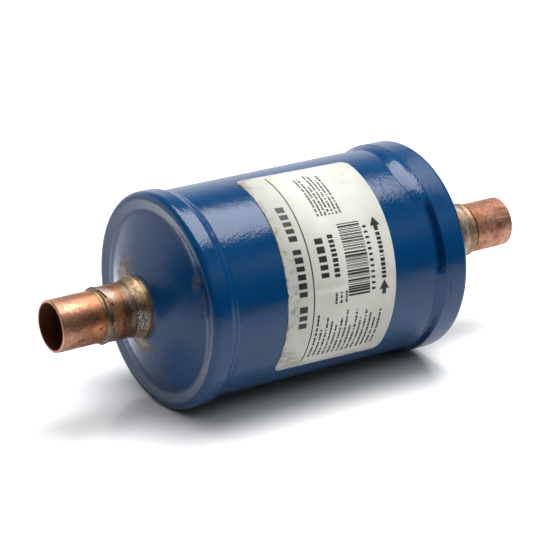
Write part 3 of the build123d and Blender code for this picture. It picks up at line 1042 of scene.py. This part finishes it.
def label_look():
    """Satin foil: dirt down its left side, stains at its high corner, scuffs at its low one."""
    look, tree, place = begin("label_foil")
    flat = parts(tree, add(tree, "UVMap", uv_map=FLAT).outputs[0])
    across, up = flat["X"], flat["Y"]
    tall = times(tree, up, 0.8)
    tone = grain(tree, place, 9, 160, 3)
    color = mix(tree, ramp(tree, tone, 0.3, 0.7), FOIL_DARK, FOIL)
    wander = ramp(tree, tone, 0.3, 0.7, -2.5, 2.5)
    edge = ramp(tree, calc(tree, "ADD", across, wander), LEFT_EDGE + 4.9, LEFT_EDGE + 0.6)
    dirt = ramp(tree, grain(tree, place, 2.6, 161, 5), 0.48, 0.70)
    color = mix(tree, times(tree, edge, dirt, 0.75), color, EDGE_DIRT)
    high = ramp(tree, calc(tree, "SUBTRACT", tall, across), 44, 54)
    stain = ramp(tree, grain(tree, place, 3.5, 166, 4), 0.35, 0.6)
    color = mix(tree, times(tree, high, stain, 0.7), color, CORNER_STAIN)
    rim = ramp(tree, across, LEFT_EDGE + 0.5, LEFT_EDGE + 0.1)
    grime = ramp(tree, grain(tree, place, 2.2, 162, 3), 0.35, 0.6, 0.35, 1.0)
    color = mix(tree, times(tree, rim, grime), color, RIM_GRIME)
    corner = ramp(tree, calc(tree, "ADD", tall, across), -38, -46)
    hatch = grain(tree, stretched(tree, place, (0.15, 1.2, 1.2)), 0.6, 163, 2)
    scuffs = ramp(tree, hatch, 0.48, 0.62)
    color = mix(tree, times(tree, corner, scuffs, 0.7), color, SCUFF)
    smudge = ramp(tree, grain(tree, place, 6, 164, 5), 0.60, 0.72)
    color = mix(tree, times(tree, smudge, 0.22), color, SMUDGE)
    gloss = ramp(tree, tone, 0.3, 0.7, 0.50, 0.60)
    shade(tree, color, gloss, 0.0, grain(tree, place, 1.4, 165), 0.02, 0.25)
    return look


label_piece = label_shape()
bend(label_piece, 0)
keep(label_piece, "label_sheet", label_look(), "label_foil", "label")

# %% [markdown]
# ## Print on the label
# The print is generic: a rule, rows of plain blocks, a field of bars, two flow arrows, and rows of
# short strokes in the place of small text. Nothing is spelled. It is one flat mesh of rectangles,
# sliced and bent as the label was and lifted just off it, so that it stays sharp from close up.

# %% Print helpers
PRINT_LIFT = 0.02
marks = bmesh.new()
dice = random.Random(7)


def stroke(across, up, wide, tall):
    """A rectangle of print, from its middle, wide across the label and tall up it."""
    made = bmesh.ops.create_grid(marks, x_segments=1, y_segments=1, size=0.5)["verts"]
    bmesh.ops.scale(marks, verts=made, vec=(wide, tall, 1))
    bmesh.ops.translate(marks, verts=made, vec=(across, up, 0))


def words(across, low, high, size):
    """A row of strokes of uneven length that runs up the label, like a line of small text."""
    up = low
    while up < high:
        length = min(dice.uniform(0.5, 1.5), high - up)
        stroke(across, up + length / 2, size * dice.uniform(0.8, 1.0), length)
        up += length + dice.choice((0.16, 0.16, 0.22, 0.6))


def blocks(across, low, high, size, wide):
    """A row of plain blocks of uneven length up the label, where a line of larger print would be."""
    up = low
    while up < high - wide / 2:
        length = wide * dice.uniform(0.72, 1.08)
        stroke(across, up + length / 2, size, length)
        up += length + wide * 0.42


def arrow(across, low):
    """A block arrow that points up the label."""
    stroke(across, low + 1.0, 1.6, 2.0)
    head = bmesh.ops.create_circle(marks, cap_ends=True, radius=2.3, segments=3)["verts"]
    bmesh.ops.scale(marks, verts=head, vec=(1.0, 0.95, 1))
    bmesh.ops.translate(marks, verts=head, vec=(across, low + 2.9, 0))


# %% Print layout
RULE, LARGE, MIDDLE, SMALLER = -11.7, -16.0, -6.6, -1.7
BARS, FIGURES, FLOW = 6.9, 12.9, 17.4

stroke(RULE, 0, 0.5, 76.0)
blocks(LARGE, -22.6, -14.6, 3.3, 2.3)
blocks(LARGE, -11.4, 4.4, 3.3, 2.3)
blocks(LARGE, 7.6, 21.2, 3.3, 2.3)
blocks(MIDDLE, -6.2, 7.6, 3.2, 2.2)
blocks(SMALLER, -6.6, 8.0, 2.2, 1.3)
bar_up = -13.8
while bar_up < 11.4:
    thick = dice.choice((0.16, 0.16, 0.22, 0.34, 0.62))
    stroke(BARS, bar_up, 9.0, thick)
    bar_up += thick + dice.choice((0.16, 0.2, 0.3, 0.42))
for figure in range(12):
    stroke(FIGURES, -12.5 + figure * 1.95, 1.5, dice.uniform(0.7, 1.0))
arrow(FLOW, 6.9)
arrow(FLOW, -15.2)
blocks(FLOW, -9.6, -2.8, 1.8, 1.1)
stroke(FLOW, -1.9, 1.8, 0.35)
blocks(FLOW, -1.0, 5.9, 1.8, 1.1)
for row in range(7):
    words(-3.0 + row * 1.5, 15.2, dice.uniform(28, 36.5), 0.82)
for row in range(14):
    words(-9.6 + row * 2.02, -36.2 + 0.25 * max(0, row - 9), dice.uniform(-25, -18.5), 0.95)
for row in range(3):
    words(-2.6 + row * 2.1, -15.8, -11.8, 0.95)
bmesh.ops.reverse_faces(marks, faces=[face for face in marks.faces if face.normal.z < 0])
cut_strips(marks, -LABEL_HEIGHT / 2, LABEL_HEIGHT / 2)
bend(marks, LABEL_THICK + PRINT_LIFT)
print("faces of print:", len(marks.faces))

# %% Ink
INK = (0.018, 0.014, 0.016)
WORN_INK = (0.10, 0.09, 0.09)

ink, tree, place = begin("label_ink")
worn = ramp(tree, grain(tree, place, 0.8, 180, 4), 0.5, 0.85, 0, 0.4)
shade(tree, mix(tree, worn, INK, WORN_INK), 0.45)
keep(marks, "label_print", ink, "label_foil")

# %% [markdown]
# ## What is inside
# The spring, plates, core, seal and pad aren't seen while the can is closed, but a part that is
# taken from the library may be cut open. So each material in there has a finish of its own,
# mottled between two colours.

# %% Inner finishes
def inner_look(name, light, dark, size, gloss, metallic, depth):
    """A material mottled light and dark in lumps of size, with depth of relief, in millimetres."""
    look, tree, place = begin(name)
    mottle = grain(tree, place, size, 200, 5)
    color = mix(tree, ramp(tree, mottle, 0.3, 0.7), dark, light)
    sheen = ramp(tree, grain(tree, place, size * 0.5, 201), 0.3, 0.7, *gloss)
    shade(tree, color, sheen, metallic, mottle, depth)
    return look


wire = inner_look("spring_steel", (0.42, 0.41, 0.40), (0.28, 0.27, 0.26), 1.2, (0.25, 0.4), 1.0, 0.02)
plate = inner_look("plate_steel", (0.60, 0.59, 0.56), (0.48, 0.47, 0.45), 3, (0.3, 0.45), 1.0, 0.02)
block = inner_look("desiccant_block", (0.74, 0.66, 0.52), (0.58, 0.49, 0.36), 0.7, (0.8, 0.95), 0.0, 0.25)
fibre = inner_look("seal_fibre", (0.42, 0.40, 0.36), (0.28, 0.27, 0.25), 0.9, (0.75, 0.9), 0.0, 0.12)
felt = inner_look("pad_felt", (0.82, 0.80, 0.74), (0.66, 0.64, 0.58), 0.5, (0.9, 1.0), 0.0, 0.2)
dress(wire, "compression_spring")
dress(plate, "spring_plate", "outlet_plate")
dress(block, "desiccant_core")
dress(fibre, "core_seal")
dress(felt, "filter_pad")
